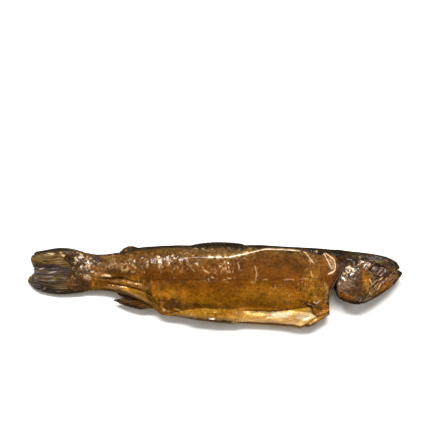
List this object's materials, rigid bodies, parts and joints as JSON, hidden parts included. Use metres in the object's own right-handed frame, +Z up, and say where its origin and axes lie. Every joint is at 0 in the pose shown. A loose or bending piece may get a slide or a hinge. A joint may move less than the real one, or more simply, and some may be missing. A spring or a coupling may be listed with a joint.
{
  "type": "smoked trout",
  "caption": "Whole smoked trout, gutted and lying on its side, with slit belly, open throat, head, gill covers, eyes and all its fins.",
  "frame": {"origin": "middle of the base of the fish's box, on the table under the middle of the trunk", "axes": "+X from the tail to the snout, +Y from the belly to the back, +Z up, away from the table"},
  "size_m": [0.3003, 0.0676, 0.0295],
  "materials": {
    "smoked_skin": "oily smoked skin, dark olive back to bronze flank and golden belly, glossy",
    "fin": "dried dark brown fin membrane with raised rays, satin",
    "head_skin": "oily brown skin over bone with silvery mauve gill cover, glossy",
    "flesh": "cured pinkish tan flesh and belly lining, moist",
    "eye": "clouded grey eye with dark rim, wet gloss",
    "bone": "small ivory teeth and rib tips, satin"
  },
  "bodies": {
    "root": {"smoked_trout": "smoked_skin"}
  },
  "joints": []
}
